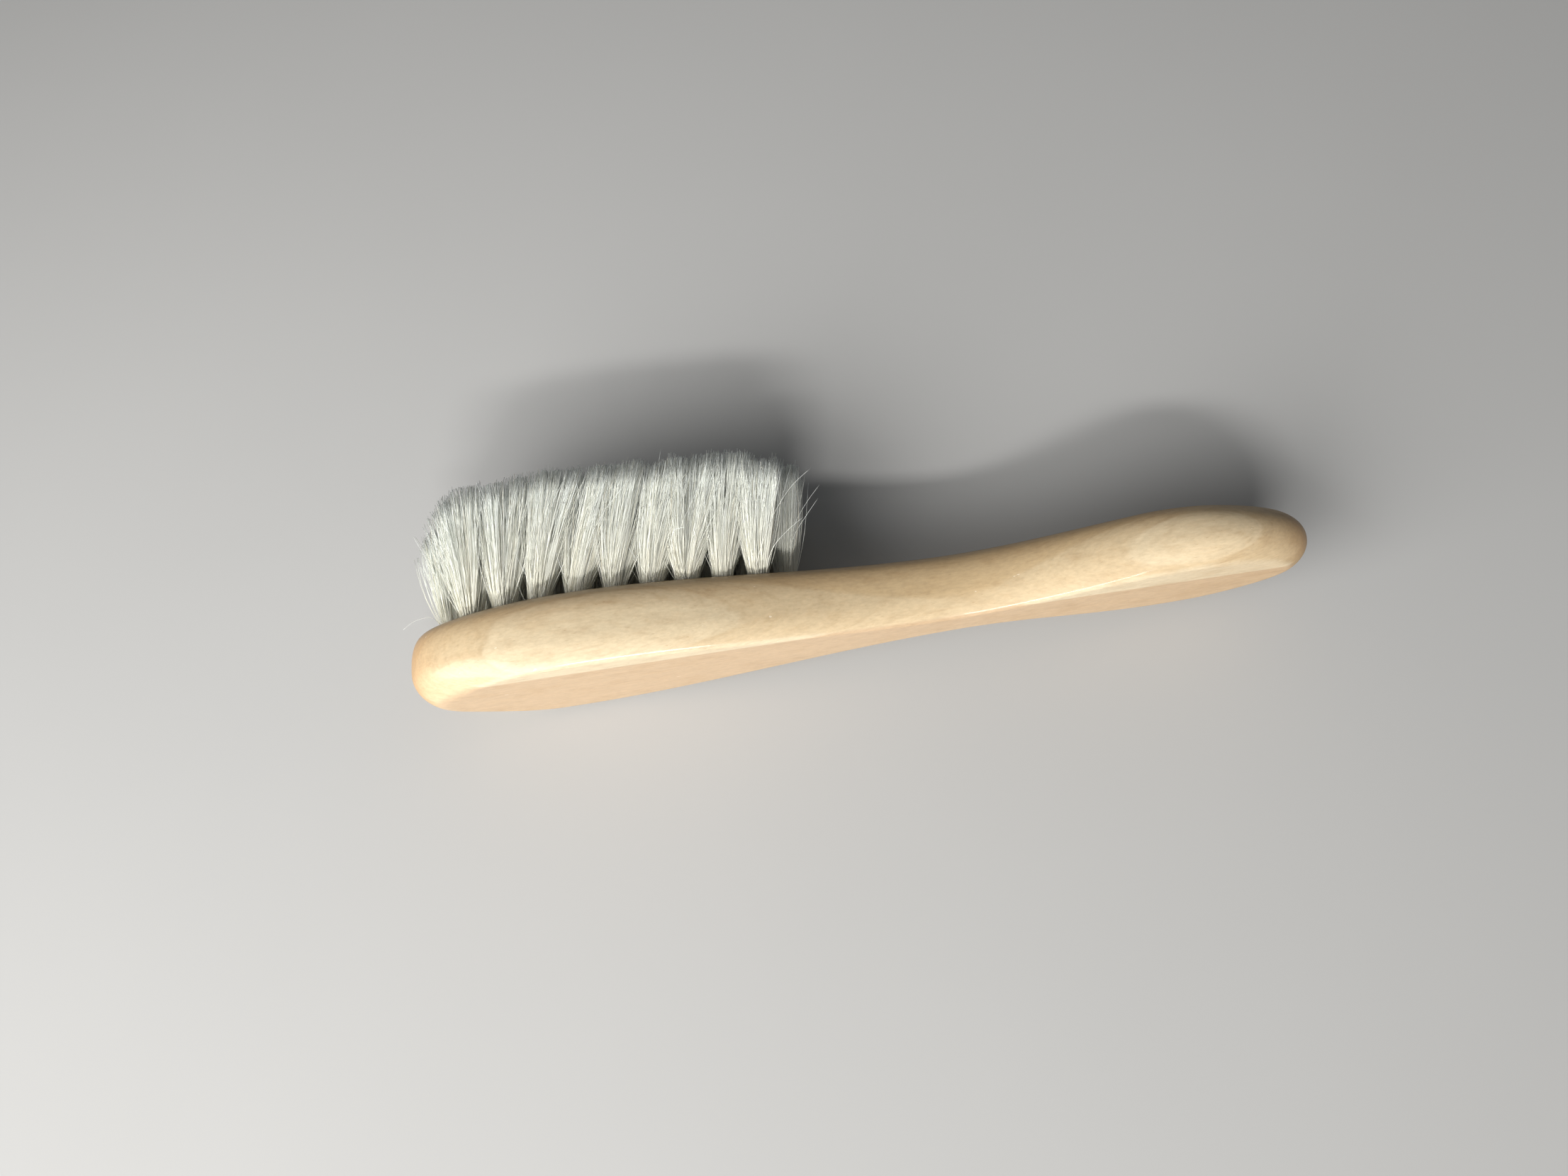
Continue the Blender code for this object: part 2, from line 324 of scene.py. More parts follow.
def wood_material(look):
    """Pale close-grained wood in tilted layers, with mottles, pores and nicks, under satin lacquer."""
    graph = ShaderGraph("lacquered_wood")
    x, y, z = graph.parts(graph.place((1.0, 1.0, 1.0)))
    x, y, z = (axis - start / MM for axis, start in zip((x, y, z), BRUSH_ORIGIN))

    # Curved growth layers: the sides cut them in long rounded figures, the flat back in straight bands.
    # Everything here is in millimetres from the nose, the flat back and the middle plane.
    warp = graph.noise(graph.place((0.022, 0.08, 0.08)), detail=2.0) - 0.5
    layer = z + x.at_most(76.0) * 0.056 - y * 0.089 + warp * 1.6
    under = z - y * 0.57 + warp * 1.2
    band = z + x * 0.05 + warp * 0.8

    # Everything that speckles or streaks the layers, from broad to fine.
    grain = graph.noise(graph.combined(x * 0.035, y * 0.30, layer * 1.7), detail=4.0)
    lines = graph.noise(graph.combined(x * 0.09, y * 0.8, z * 4.2), detail=3.0)
    mottle = graph.noise(graph.place((0.16, 0.36, 0.36)), detail=4.0, roughness=0.6)
    fleck = graph.noise(graph.place((0.8, 2.2, 2.2)), detail=3.0, roughness=0.6)
    pore = graph.between(graph.noise(graph.place((0.7, 4.5, 4.5)), detail=1.0), 0.70, 0.76)
    nick = graph.between(graph.noise(graph.place((0.55, 0.9, 0.9)), detail=3.0), 0.735, 0.76)

    # The figure: pale and honey layers on the sides, pink and cream bands on the back.
    stops = [
        (0.00, look.honey),
        (0.14, look.pale),
        (0.17, look.honey),
        (0.745, look.honey),
        (0.752, look.pale),
        (1.00, look.pale),
    ]
    share = (layer + (grain - 0.5) * 0.8 + 16.0) / 40.0
    side = graph.add("ShaderNodeValToRGB", {"stops": stops}, {"Fac": share})
    side = graph.mix(graph.between(under, 2.5, 3.3) * 0.5, side, opaque(look.pale))
    back = graph.mix(graph.between(band, 10.0, 10.6), opaque(look.pink), opaque(look.cream))
    colour = graph.mix(graph.between(y, 0.15, 0.7), back, side)

    # Darker growth rings, mottles and pores; towards the face a darker tone that is partly the honey
    # outer wood and partly painted shade, and painted shade towards the grip end.
    edges = ((layer, 13.95), (under, 2.9))
    outer_ring, under_ring = (1.0 - graph.between(abs(value - at), 0.03, 0.22) for value, at in edges)
    on_side = graph.between(y, 0.4, 1.4)
    figure_and_painted_shade = graph.between(mottle, 0.42, 0.75) * 0.24 + graph.between(lines, 0.45, 0.80) * 0.20
    figure_and_painted_shade += pore * 0.30 + (outer_ring + under_ring * 0.5) * on_side * 0.14
    # Painted shade: darker towards the face, where the side turns away from the lights, and towards the
    # grip end, where the light falls off.
    figure_and_painted_shade += graph.between(y, 6.5, 13.5) * 0.42 + graph.between(x, 125.0, 168.0) * 0.22
    colour = graph.mix(figure_and_painted_shade, colour, opaque(look.brown))
    facing = graph.add("ShaderNodeTexCoord", output="Normal")
    end = graph.between(abs(graph.parts(facing)[0]), 0.22, 0.90)
    colour = graph.mix(end * 0.80, colour, opaque(look.end_grain))
    tone = 0.70 + fleck * 0.40 + grain * 0.20
    colour = graph.mix(1.0, colour, graph.combined(tone, tone, tone), "MULTIPLY")
    colour = graph.mix(nick * 0.35, colour, opaque(look.nick))

    grip = graph.between(x, 95.0, 140.0)
    height = fleck * 0.35 + lines * 0.25 - pore * 0.5 - nick * 0.9
    return graph.finish({
        "Base Color": colour,
        "Roughness": 0.40 + fleck * 0.14 + grip * 0.08,
        "Specular IOR Level": 0.25,
        "Normal": graph.bump(height, strength=0.35, distance=0.05 * MM),
        "Coat Weight": look.lacquer - grip * 0.12,
        "Coat Roughness": 0.10,
    })


def hair_material(look):
    """Goat hair: white, cream and a few tan hairs, yellower and darker towards the root, partly the
    hair's own tint and partly painted shade where the tufts crowd together.

    Each hair carries its own tone, "hair", and every point its place from root to tip, "along".
    """
    graph = ShaderGraph("goat_hair")
    hair = graph.add("ShaderNodeAttribute", {"attribute_name": "hair"}, output="Fac")
    along = graph.add("ShaderNodeAttribute", {"attribute_name": "along"}, output="Fac")
    stops = [
        (0.0, look.white),
        (0.55, look.white),
        (0.80, look.cream),
        (0.95, look.cream),
        (1.0, look.tan),
    ]
    colour = graph.add("ShaderNodeValToRGB", {"stops": stops}, {"Fac": hair})
    # Yellower and darker towards the root: partly the hair's own tint, partly painted shade where the
    # tufts crowd together.
    colour = graph.mix((1.0 - along) ** 1.3 * 0.70, colour, opaque(look.root))
    streak = graph.noise(graph.place((0.5, 0.12, 0.5)), detail=2.0)
    colour = graph.mix(streak * 0.35, colour, opaque(look.cream))
    return graph.finish({
        "Base Color": colour,
        "Roughness": 0.34 + streak * 0.15,
        "Sheen Weight": 0.25,
        "Sheen Roughness": 0.5,
    })


def steel_material():
    """Bare flat wire with faint drawing lines."""
    graph = ShaderGraph("anchor_steel")
    lines = graph.noise(graph.place((0.5, 30.0, 30.0)), detail=2.0)
    colour = graph.mix(lines, (0.50, 0.49, 0.47, 1.0), (0.66, 0.65, 0.63, 1.0))
    return graph.finish({
        "Base Color": colour,
        "Metallic": 1.0,
        "Roughness": 0.28 + lines * 0.2,
        "Normal": graph.bump(lines, strength=0.2, distance=0.02 * MM),
    })


def floor_material(colour):
    """Matt pale paint with a faint cloudiness."""
    graph = ShaderGraph("studio_floor")
    grain = graph.noise(graph.place((0.02, 0.02, 0.02)), detail=4.0)
    darker = [part * 0.97 for part in colour]
    return graph.finish({
        "Base Color": graph.mix(grain, opaque(darker), opaque(colour)),
        "Roughness": 0.85,
    })


# ---------------------------------------------------------------------------------------------- handle


def ease(x, start, end):
    """Smooth ramp from 0 at start to 1 at end."""
    t = min(max((x - start) / (end - start), 0.0), 1.0)
    return t * t * (3.0 - 2.0 * t)


def along_brush(x, stations):
    """Value at x of a list of (x, value) stations, eased between them."""
    value = stations[0][1]
    for (x0, v0), (x1, v1) in zip(stations, stations[1:]):
        value += (v1 - v0) * ease(x, x0, x1)
    return value


class HandleShape:
    """The handle's surface, worked out from its sizes, in the brush's own coordinates."""

    NOSE_STEPS, SHANK_STEPS, END_STEPS = 26, 96, 22
    ARRIS_STEPS, BACK_STEPS, FACE_STEPS = 4, 10, 20
    HOLD = 0.35 * MM  # a narrow strip inside each edge keeps the flat beside it flat

    def __init__(self, sizes):
        self.sizes = sizes
        self.width = [
            (sizes.head_x, sizes.head_width),
            (sizes.waist_x, sizes.waist_width),
            (sizes.grip_x, sizes.grip_width),
        ]
        self.thickness = [
            (NOSE_START, sizes.nose_thickness),
            (HEAD_MIDDLE, sizes.head_thickness),
            (sizes.waist_x, sizes.waist_thickness),
            (GRIP_MIDDLE, sizes.grip_thickness),
            (sizes.length, sizes.end_thickness),
        ]
        self.bulge = [
            (0.0, sizes.nose_bulge_height),
            (NOSE_END, sizes.bulge_height),
            (sizes.waist_x, sizes.waist_bulge_height),
            (sizes.length, sizes.end_bulge_height),
        ]
        self.back = [
            (0.0, sizes.nose_back_inset),
            (NOSE_END, sizes.back_inset),
            (GRIP_START, sizes.waist_back_inset),
            (sizes.length, sizes.end_back_inset),
        ]
        self.face = [
            (0.0, sizes.nose_face_inset),
            (HEAD_MIDDLE, sizes.face_inset),
            (HEAD_END, sizes.grip_face_inset),
            (GRIP_MIDDLE, sizes.grip_face_inset),
            (sizes.length, sizes.end_face_inset),
        ]
        self.power = [(HEAD_END, sizes.head_power), (GRIP_START, 2.0)]
        # How far the side has turned towards the back where it meets it, in radians.
        self.turn = [(0.0, 1.48), (NOSE_END, 0.84), (GRIP_MIDDLE, 0.84), (sizes.length, 1.08)]

    def face_height(self, x):
        return along_brush(x, self.thickness)

    def nose_point(self, angle, inset):
        sizes = self.sizes
        power = 2 / sizes.nose_power
        x = sizes.head_x - (sizes.head_x - inset) * max(math.cos(angle), 0.0) ** power
        return x, (sizes.head_width / 2 - inset) * math.sin(angle) ** power

    def end_point(self, angle, inset):
        sizes = self.sizes
        power = 2 / sizes.end_power
        x = sizes.grip_x + (sizes.length - sizes.grip_x - inset) * max(math.cos(angle), 0.0) ** power
        return x, (sizes.grip_width / 2 - inset) * math.sin(angle) ** power

    def shank_point(self, x, inset):
        return x, along_brush(x, self.width) / 2 - inset

    def stations(self):
        """(point function, its argument) of each point of the half outline, from the nose to the end."""
        sizes = self.sizes
        quarter = math.pi / 2
        nose = [(self.nose_point, quarter * i / self.NOSE_STEPS) for i in range(self.NOSE_STEPS + 1)]
        step = (sizes.grip_x - sizes.head_x) / self.SHANK_STEPS
        shank = [(self.shank_point, sizes.head_x + step * i) for i in range(1, self.SHANK_STEPS)]
        end = [(self.end_point, quarter * i / self.END_STEPS) for i in range(self.END_STEPS, -1, -1)]
        return nose + shank + end

    def section(self, x):
        """(inset, height) up one side of the section at x, past the back's softened edge to the face."""
        top = self.face_height(x)
        bulge = along_brush(x, self.bulge)
        turn = along_brush(x, self.turn)
        back = along_brush(x, self.back)
        face = along_brush(x, self.face)
        power = 2 / along_brush(x, self.power)
        depth = back / (1 - math.cos(turn))
        drop = bulge / math.sin(turn)

        def side(angle):
            return depth * (1 - math.cos(angle)), bulge - drop * math.sin(angle)

        soft = self.sizes.arris
        start = turn - soft / drop
        corners = ((back + soft, 0.0), (back, 0.0), side(start))
        points = [(back + soft + self.HOLD, 0.0)]
        for i in range(self.ARRIS_STEPS + 1):
            t = i / self.ARRIS_STEPS
            weights = ((1 - t) ** 2, 2 * t * (1 - t), t**2)
            points.append(tuple(sum(w * c[k] for w, c in zip(weights, corners)) for k in (0, 1)))
        points += [side(start * (1 - i / self.BACK_STEPS)) for i in range(1, self.BACK_STEPS)]
        for i in range(self.FACE_STEPS + 1):
            angle = math.pi / 2 * i / self.FACE_STEPS
            reach = max(math.cos(angle), 0.0) ** power
            rise = math.sin(angle) ** power
            points.append((face * (1 - reach), bulge + (top - bulge) * rise))
        return points + [(face + self.HOLD, top)]

    def columns(self):
        """One run of points from back to face for each station of the half outline."""
        columns = []
        for function, argument in self.stations():
            outline_x = function(argument, 0.0)[0]
            outline_top = self.face_height(outline_x)
            column = []
            for inset, height in self.section(outline_x):
                x, z = function(argument, inset)
                # The face slopes along the brush, so an inner point takes the thickness of its new place.
                change = self.face_height(x) - outline_top
                column.append((x, height + height / outline_top * change, z))
            columns.append(column)
        return columns

    def mesh(self, name):
        """Both sides skinned from the columns, closed by strips across the back and the face."""
        bm = bmesh.new()
        columns = self.columns()
        ends = [[bm.verts.new((x, y, 0.0)) for x, y, z in columns[i]] for i in (0, -1)]
        sides = []
        for sign in (1, -1):
            runs = [[bm.verts.new((x, y, sign * z)) for x, y, z in column] for column in columns[1:-1]]
            sides.append([ends[0]] + runs + [ends[1]])
        near, far = sides
        last = len(columns[0]) - 1
        for i in range(len(columns) - 1):
            for j in range(last):
                bm.faces.new((near[i][j], near[i + 1][j], near[i + 1][j + 1], near[i][j + 1]))
                bm.faces.new((far[i + 1][j], far[i][j], far[i][j + 1], far[i + 1][j + 1]))
            for j in (0, last):
                rung = (near[i][j], near[i + 1][j], far[i + 1][j], far[i][j])
                bm.faces.new(list(dict.fromkeys(rung)))
        bmesh.ops.recalc_face_normals(bm, faces=bm.faces)
        bmesh.ops.translate(bm, verts=bm.verts, vec=BRUSH_ORIGIN)
        mesh = bpy.data.meshes.new(name)
        bm.to_mesh(mesh)
        bm.free()
        return mesh


def add_object(name, data):
    thing = bpy.data.objects.new(name, data)
    bpy.context.scene.collection.objects.link(thing)
    return thing


BAR_LENGTH = 20 * MM
BAR_SEGMENTS = 40


def hole_cutter(radius):
    """One object with a round bar where each tuft goes in, as deep as the tuft's solid."""
    bm = bmesh.new()
    upright = Matrix.Rotation(math.pi / 2, 3, "X")
    for name in TUFT_NODES:
        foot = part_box(name)[0].y
        anchor_low, anchor_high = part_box(name.replace("tuft_", "anchor_"))
        centre = (anchor_low + anchor_high) / 2
        bar = bmesh.ops.create_cone(
            bm,
            cap_ends=True,
            segments=BAR_SEGMENTS,
            radius1=radius,
            radius2=radius,
            depth=BAR_LENGTH,
        )["verts"]
        bmesh.ops.rotate(bm, verts=bar, matrix=upright)
        bmesh.ops.translate(bm, verts=bar, vec=(centre.x, foot + BAR_LENGTH / 2, centre.z))
    mesh = bpy.data.meshes.new("hole_bars")
    bm.to_mesh(mesh)
    bm.free()
    return add_object("hole_bars", mesh)


def cut_holes(piece, cutter):
    """Cuts the holes for good, then removes the cutter."""
    modifier = piece.modifiers.new("holes", "BOOLEAN")
    modifier.operation = "DIFFERENCE"
    modifier.solver = "EXACT"
    modifier.object = cutter
    graph = bpy.context.evaluated_depsgraph_get()
    drilled = bpy.data.meshes.new_from_object(piece.evaluated_get(graph))
    piece.modifiers.clear()
    piece.data = drilled
    bpy.data.objects.remove(cutter)


# ---------------------------------------------------------------------------------------------- hair


def tuft_ends(name):
    """Where a tuft leaves the wood, and the middle of its tips, read from its solid."""
    points = np.array([vert.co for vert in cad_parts[name].data.vertices])
    low, high = points[:, 1].min(), points[:, 1].max()
    root = points[points[:, 1] < low + 2 * MM]
    tips = points[points[:, 1] > high - 0.2 * (high - low)]
    return (root.max(0) + root.min(0)) / 2, (tips.max(0) + tips.min(0)) / 2


def tube_mesh(name, paths, radii, tones):
    """Closed three-sided tubes along paths (hairs, points, 3), with radii and a tone for each hair."""
    count, stations = paths.shape[:2]
    tangent = np.gradient(paths, axis=1)
    side = np.cross(tangent, (0.0, 0.0, 1.0))
    side /= np.linalg.norm(side, axis=2, keepdims=True)
    lift = np.cross(tangent, side)
    lift /= np.linalg.norm(lift, axis=2, keepdims=True)
    corners = []
    for angle in (0.0, 2 * math.pi / 3, 4 * math.pi / 3):
        corners.append(paths + radii[..., None] * (math.cos(angle) * side + math.sin(angle) * lift))
    verts = np.stack(corners, axis=2).reshape(-1, 3)

    start = np.arange(count)[:, None] * stations * 3
    first = start + 3 * np.arange(stations - 1)[None, :]
    quads = []
    for corner in range(3):
        a = first + corner
        b = first + (corner + 1) % 3
        quads.append(np.stack((a, b, b + 3, a + 3), axis=-1).reshape(-1, 4))
    caps = (start + np.array([2, 1, 0]), start + (stations - 1) * 3 + np.array([0, 1, 2]))
    mesh = bpy.data.meshes.new(name)
    mesh.from_pydata(verts, [], np.concatenate(quads).tolist() + np.concatenate(caps).tolist())
    along = np.broadcast_to(np.linspace(0.0, 1.0, stations)[None, :, None], (count, stations, 3))
    for key, values in (("hair", np.repeat(tones, stations * 3)), ("along", along.ravel())):
        layer = mesh.attributes.new(key, "FLOAT", "POINT")
        layer.data.foreach_set("value", values.astype(np.float32))
    mesh.shade_smooth()
    return mesh


def disc(random, count):
    """Points spread evenly over a disc of radius 1."""
    radius = np.sqrt(random.random(count))
    angle = 2 * math.pi * random.random(count)
    return np.stack((radius * np.cos(angle), radius * np.sin(angle)), axis=1)


# (distance from the nose, how much shorter the hair is), in millimetres
TRIM = (
    (8, 1.2), (14, 0.4), (20, -0.3), (28, -0.5), (33, -0.5), (40, 0.3), (47, 1.2),
    (55, 1.9), (61, 2.3), (66, 2.8), (72, 3.7), (74, 3.8), (77, 3.4), (81, 2.6),
)
REAR_START = 66 * MM  # where the tufts begin to round off towards the grip
HAIR_PARTS = np.array([-0.08, 0.0, 0.09, 0.20, 0.33, 0.48, 0.65, 0.83, 1.0])  # of a hair's free length
ROOT_DEPTH = 0.4 * MM  # how far below the face a tuft's free part starts
PROUD_TOP = 1.1 * MM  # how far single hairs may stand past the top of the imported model's box
PROUD_SIDE = 0.8 * MM  # the same at the side away from the floor
FLOOR_GAP = 0.1 * MM


def past_oval(run, across, size, soft):
    """0 inside an oval at one end of the brush, and 1 more for each soft width beyond it."""
    return np.clip((np.hypot(np.clip(run, 0.0, None), across) - size) / soft, 0.0, None)


def trimmed_height(x, z):
    """Height above the flat back of the trimmed tips: nearly level, and rounded off at both ends."""
    nose = past_oval(15 * MM - x, 0.75 * np.abs(z), 7.5 * MM, 4.5 * MM)
    rear = past_oval(x - REAR_START, 0.9 * np.abs(z), 8.5 * MM, 4 * MM) * (x > REAR_START)
    fall = 5.4 * nose**2 + np.interp(x / MM, *zip(*TRIM)) + 1.2 * rear**2
    return CAD_BOX[1].y - BRUSH_ORIGIN.y - MM * np.clip(fall, -0.5, 9.0)


def draw_together(inside, look, random):
    """Each hair's place among the tips of its tuft, the wisp that it joins, and whether it is wild."""
    count = len(inside)
    seeds = disc(random, look.wisps)
    nearest = np.argmin(((inside[:, None] - seeds[None]) ** 2).sum(2), axis=1)
    pull = (look.gather * random.uniform(0.1, 1.0, look.wisps))[nearest][:, None]
    drift = random.normal(0.0, 0.20, (look.wisps, 2))[nearest]
    outside = inside * (1 - pull) + seeds[nearest] * pull + drift + random.normal(0.0, 0.16, (count, 2))
    wild = random.random(count) < 0.11
    outside += wild[:, None] * random.normal(0.0, 0.42, (count, 2))
    return outside, nearest, wild


def tuft_mesh(name, look, shape, random):
    """A fan of hairs from the hole to the trimmed tips, drawn together in wisps."""
    root, tip = tuft_ends(name)
    count = look.hairs
    inside = disc(random, count)
    outside, nearest, wild = draw_together(inside, look, random)
    reach = np.where(random.random(count) < 0.14, random.uniform(0.45, 0.95, count), 1.0)

    root_x = root[0] + inside[:, 0] * look.root_radius
    root_z = root[2] + inside[:, 1] * look.root_radius
    root_y = BRUSH_ORIGIN.y + shape.face_height(root[0] - BRUSH_ORIGIN.x) - ROOT_DEPTH
    # Nothing stands beyond the first and the last tuft, so their outer hairs don't fan out as far.
    brush_x = tip[0] - BRUSH_ORIGIN.x
    nose_side = look.fan_length * (1 - 0.53 * (1 - ease(brush_x, 6 * MM, 17 * MM)))
    grip_side = look.fan_length * (1 - 0.68 * ease(brush_x, REAR_START, 77.5 * MM))
    tip_x = tip[0] + outside[:, 0] * np.where(outside[:, 0] < 0, nose_side, grip_side)
    # The outer hairs of a tuft lie close together, so its sides stay dense up to the tips.
    tip_z = tip[2] + np.tanh(1.9 * outside[:, 1]) * look.fan_width
    ragged = random.normal(0.0, 0.9, look.wisps)[nearest] - np.abs(random.normal(0.0, 0.4, count))
    spike = (random.random(count) < 0.04) * random.uniform(0.5, 1.8, count)
    trimmed = trimmed_height(tip_x - BRUSH_ORIGIN.x, tip_z - BRUSH_ORIGIN.z)
    tip_y = BRUSH_ORIGIN.y + trimmed + look.raggedness * (ragged + spike)

    # Each hair bows to one side and quivers a little on its way from root to tip.
    part = HAIR_PARTS[None, :] * reach[:, None]
    free = np.clip(part, 0.0, 1.0)
    bow = np.sin(math.pi * free)
    wave = free * np.sin(2 * math.pi * free + random.uniform(0, 6.28, count)[:, None])
    sway = look.wander * random.normal(0.0, 1.0, (count, 2)) * (1 + 1.5 * wild[:, None])
    quiver = 0.55 * look.wander * random.normal(0.0, 1.0, (count, 2))
    lean = tip[0] - root[0]
    x = root_x[:, None] + lean * free**1.18 + (tip_x - lean - root_x)[:, None] * free**1.04
    x += bow * sway[:, :1] + wave * quiver[:, :1]
    z = root_z[:, None] + (tip_z - root_z)[:, None] * free**0.9
    z += bow * sway[:, 1:] + wave * quiver[:, 1:]
    y = root_y + (tip_y[:, None] - root_y) * part
    y = np.minimum(y, CAD_BOX[1].y + PROUD_TOP)
    z = np.clip(z, CAD_BOX[0].z + FLOOR_GAP, CAD_BOX[1].z + PROUD_SIDE)
    radius = look.thickness * random.uniform(0.7, 1.3, count)[:, None] * (1 - 0.22 * free**2)
    return tube_mesh(name, np.stack((x, y, z), axis=2), radius, random.random(count))


STRAY_POINTS = 22
# Hairs that stand away from the tufts: points in the brush's own coordinates in millimetres, root first.
STRAY_HAIRS = (
    (
        (7.6, 14.0, 3.5), (6.8, 15.8, 5.5), (6.0, 16.4, 6.8),
        (4.6, 16.2, 7.6), (2.9, 15.6, 8.0), (1.0, 14.4, 8.0),
    ),
    ((8.2, 14.0, 3.5), (8.3, 18.2, 6.0), (7.8, 23.2, 6.8), (5.9, 27.9, 7.6), (3.8, 32.9, 9.0)),
    ((8.4, 13.5, 4.0), (8.2, 16.0, 6.2), (7.2, 19.0, 7.5), (5.7, 23.5, 8.5)),
    (
        (27.0, 13.0, 8.0), (26.9, 16.2, 9.8), (26.6, 19.6, 11.7),
        (26.0, 21.4, 12.6), (25.3, 23.9, 13.3),
    ),
    ((34.5, 13.0, 8.0), (34.1, 16.8, 10.4), (33.6, 19.2, 12.2), (33.0, 22.5, 13.2)),
    (
        (42.0, 13.0, 8.0), (42.2, 17.5, 10.8), (42.3, 21.5, 12.6),
        (42.1, 26.0, 13.2), (41.8, 30.3, 13.5),
    ),
    ((49.2, 13.0, 8.0), (48.8, 16.6, 10.4), (48.0, 18.4, 12.0), (46.7, 21.0, 13.3)),
    (
        (54.0, 13.0, 7.5), (54.3, 17.6, 10.8), (54.9, 21.2, 12.8),
        (55.7, 22.8, 13.4), (57.9, 22.9, 13.5),
    ),
    (
        (68.8, 12.0, 4.6), (69.4, 15.4, 7.6), (71.6, 18.8, 11.0),
        (74.7, 24.1, 11.5), (78.4, 28.5, 11.5), (82.4, 31.7, 11.0),
    ),
    ((74.2, 13.5, 0.5), (75.4, 19.2, 2.2), (77.4, 24.0, 3.6), (80.0, 27.6, 4.0), (83.3, 31.2, 4.0)),
    ((73.9, 13.5, 0.5), (75.2, 18.4, 2.2), (77.4, 22.4, 3.6), (79.8, 25.2, 4.0), (82.6, 28.4, 4.0)),
    (
        (70.4, 12.0, 4.6), (71.4, 15.2, 7.4), (73.4, 17.5, 10.6),
        (76.2, 19.8, 11.0), (79.5, 22.0, 11.0),
    ),
    (
        (50.6, 14.0, 6.5), (51.6, 24.0, 9.8), (52.6, 32.0, 11.0),
        (53.5, 37.5, 11.0), (54.3, 41.4, 10.4),
    ),
)


def smooth_line(points, count):
    """A smooth line of count points through a few given ones."""
    spacing = np.linalg.norm(np.diff(points, axis=0), axis=1) ** 0.5
    knots = np.concatenate(([0.0], np.cumsum(spacing)))
    slopes = np.gradient(points, knots, axis=0)
    line = []
    for at in np.linspace(0.0, knots[-1], count):
        i = min(np.searchsorted(knots, at, side="right") - 1, len(knots) - 2)
        step = knots[i + 1] - knots[i]
        t = (at - knots[i]) / step
        start = (1 + 2 * t) * (1 - t) ** 2 * points[i] + t * (1 - t) ** 2 * step * slopes[i]
        line.append(start + t**2 * (3 - 2 * t) * points[i + 1] + t**2 * (t - 1) * step * slopes[i + 1])
    return line


def stray_mesh(look, random):
    """The hairs that stand away from the tufts, thinner towards their tips."""
    origin = np.array(BRUSH_ORIGIN)
    paths = np.array([smooth_line(np.array(row) * MM + origin, STRAY_POINTS) for row in STRAY_HAIRS])
    taper = 1 - 0.45 * np.linspace(0.0, 1.0, STRAY_POINTS)[None, :] ** 2
    radii = np.repeat(1.05 * look.thickness * taper, len(paths), axis=0)
    return tube_mesh("stray_hairs", paths, radii, random.uniform(0.0, 0.6, len(paths)))


# ---------------------------------------------------------------------------------------------- operators


class BRUSH_OT_handle(bpy.types.Operator):
    """Build the wooden handle with its holes"""

    bl_idname = "brush.handle"
    bl_label = "Handle"

    def execute(self, context):
        sizes = context.scene.brush_handle
        shape = HandleShape(sizes)
        handle = add_object("wooden_handle", shape.mesh("wooden_handle"))
        cut_holes(handle, hole_cutter(sizes.hole_radius))
        handle.data.shade_smooth()
        handle.data.set_sharp_from_angle(angle=math.radians(SHARP_ANGLE))
        handle.data.materials.clear()
        handle.data.materials.append(wood_material(context.scene.brush_wood))
        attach(handle, BODY)
        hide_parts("handle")
        return {"FINISHED"}


class BRUSH_OT_tufts(bpy.types.Operator):
    """Grow the hair of every tuft and the few hairs that stand away"""

    bl_idname = "brush.tufts"
    bl_label = "Tufts"

    def execute(self, context):
        look = context.scene.brush_hair
        shape = HandleShape(context.scene.brush_handle)
        material = hair_material(look)
        for i, name in enumerate(TUFT_NODES):
            random = np.random.default_rng(look.seed * 1000 + i)
            tuft = add_object(name + "_hair", tuft_mesh(name, look, shape, random))
            tuft.data.materials.append(material)
            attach(tuft, BODY)
            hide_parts(name)
        strays = add_object("stray_hairs", stray_mesh(look, np.random.default_rng(look.seed)))
        strays.data.materials.append(material)
        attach(strays, BODY)
        return {"FINISHED"}


class BRUSH_OT_anchors(bpy.types.Operator):
    """Finish the wire anchors in the holes"""

    bl_idname = "brush.anchors"
    bl_label = "Anchors"

    def execute(self, context):
        material = steel_material()
        for name in ANCHOR_NODES:
            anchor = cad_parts[name]
            anchor.data.materials.clear()
            anchor.data.materials.append(material)
        return {"FINISHED"}


LIGHT_COLOUR = (1.0, 0.99, 0.97)
LIGHT_SPREAD = 110.0  # degrees; narrower than all round, so the floor under a light doesn't glare
FLOOR_HALF = 2.5  # metres from the middle of the floor to its edges
CAMERA_PLACE = (0.00186, -0.08311, 0.21794)
CAMERA_ANGLES = (19.658, 6.6466, -7.8261)
SENSOR_WIDTH = 36.0
ROOM_COLOUR = (0.92, 0.96, 1.0)


def add_light(name, location, size, power):
    """Oblong soft light that faces the brush."""
    data = bpy.data.lights.new(name, "AREA")
    data.shape = "RECTANGLE"
    data.size, data.size_y = size
    data.energy = power
    data.color = LIGHT_COLOUR
    data.spread = math.radians(LIGHT_SPREAD)
    light = add_object(name, data)
    light.location = location
    light.rotation_euler = (-Vector(location)).to_track_quat("-Z", "Y").to_euler()


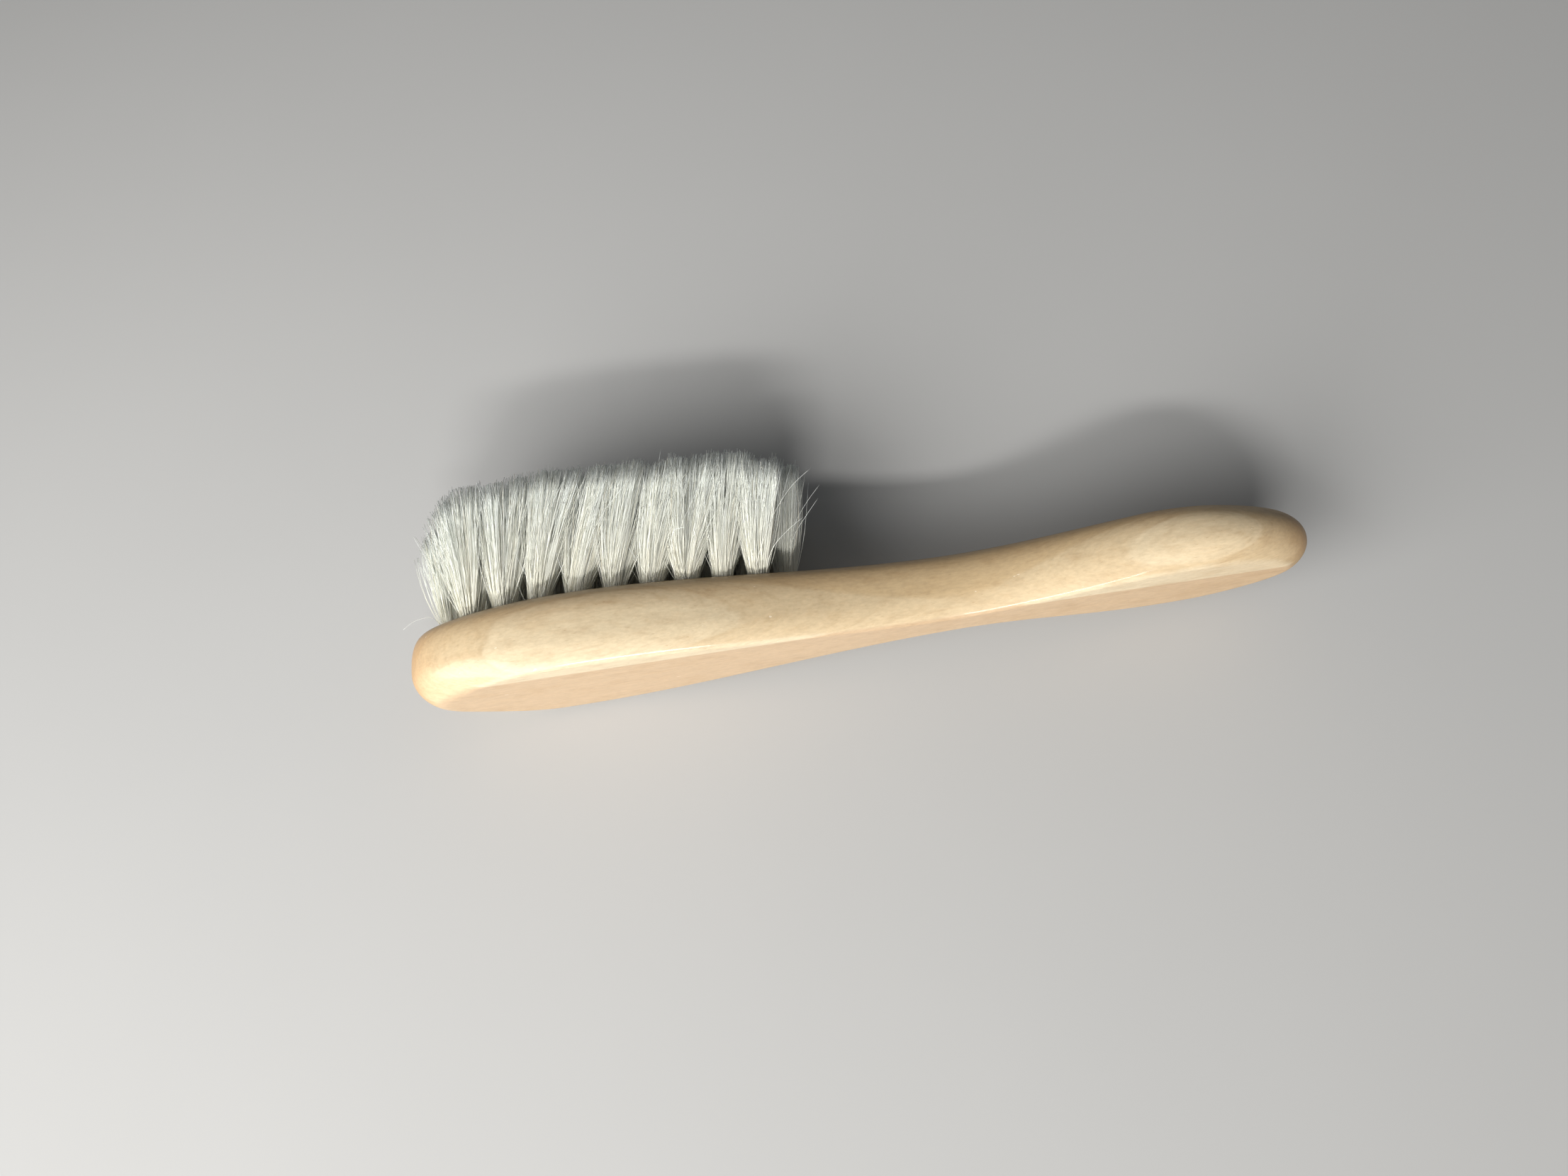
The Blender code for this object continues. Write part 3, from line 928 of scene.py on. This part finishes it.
class BRUSH_OT_stage(bpy.types.Operator):
    """Set up the floor, the lights and the camera"""

    bl_idname = "brush.stage"
    bl_label = "Stage"

    def execute(self, context):
        settings = context.scene.brush_stage
        signs = ((-1, -1), (1, -1), (1, 1), (-1, 1))
        corners = [(x * FLOOR_HALF, y * FLOOR_HALF, 0.0) for x, y in signs]
        mesh = bpy.data.meshes.new("floor")
        mesh.from_pydata(corners, [], [(0, 1, 2, 3)])
        mesh.materials.append(floor_material(settings.floor_colour))
        floor = add_object("floor", mesh)
        floor.location.z = CAD_BOX[0].z

        add_light("key_light", (-0.40, -0.31, 0.30), (0.60, 0.42), settings.key_power)
        add_light("strip_light", (-0.10, -0.84, 0.62), (0.42, 0.07), settings.strip_power)
        world = bpy.data.worlds.new("soft_room")
        world.use_nodes = True
        background = world.node_tree.nodes["Background"]
        background.inputs["Color"].default_value = opaque(ROOM_COLOUR)
        background.inputs["Strength"].default_value = settings.fill
        context.scene.world = world
        context.scene.view_settings.view_transform = "Standard"

        data = bpy.data.cameras.new("camera")
        data.lens = settings.lens
        data.sensor_width = SENSOR_WIDTH
        data.clip_start = 10 * MM
        camera = add_object("camera", data)
        camera.location = CAMERA_PLACE
        camera.rotation_euler = [math.radians(angle) for angle in CAMERA_ANGLES]
        context.scene.camera = camera
        return {"FINISHED"}


class BRUSH_PT_panel(bpy.types.Panel):
    """Sizes, colours and build steps of the clothes brush"""

    bl_idname = "BRUSH_PT_panel"
    bl_label = "Clothes Brush"
    bl_space_type = "VIEW_3D"
    bl_region_type = "UI"
    bl_category = "Brush"

    def draw(self, context):
        for step in STEPS:
            self.layout.operator(step.bl_idname)
        for group in GROUPS:
            box = self.layout.box()
            settings = getattr(context.scene, group)
            for key in settings.bl_rna.properties.keys():
                if key not in ("rna_type", "name"):
                    box.prop(settings, key)


GROUPS = {
    "brush_handle": HandleSizes,
    "brush_hair": HairLook,
    "brush_wood": WoodLook,
    "brush_stage": StageSettings,
}
STEPS = (BRUSH_OT_handle, BRUSH_OT_tufts, BRUSH_OT_anchors, BRUSH_OT_stage)


def register():
    for group in GROUPS.values():
        bpy.utils.register_class(group)
    for step in STEPS:
        bpy.utils.register_class(step)
    bpy.utils.register_class(BRUSH_PT_panel)
    for key, group in GROUPS.items():
        setattr(bpy.types.Scene, key, PointerProperty(type=group))


def unregister():
    for key in GROUPS:
        delattr(bpy.types.Scene, key)
    bpy.utils.unregister_class(BRUSH_PT_panel)
    for step in reversed(STEPS):
        bpy.utils.unregister_class(step)
    for group in reversed(list(GROUPS.values())):
        bpy.utils.unregister_class(group)


def main():
    register()
    bpy.ops.brush.handle()
    bpy.ops.brush.tufts()
    bpy.ops.brush.anchors()
    bpy.ops.brush.stage()


if __name__ == "__main__":
    main()
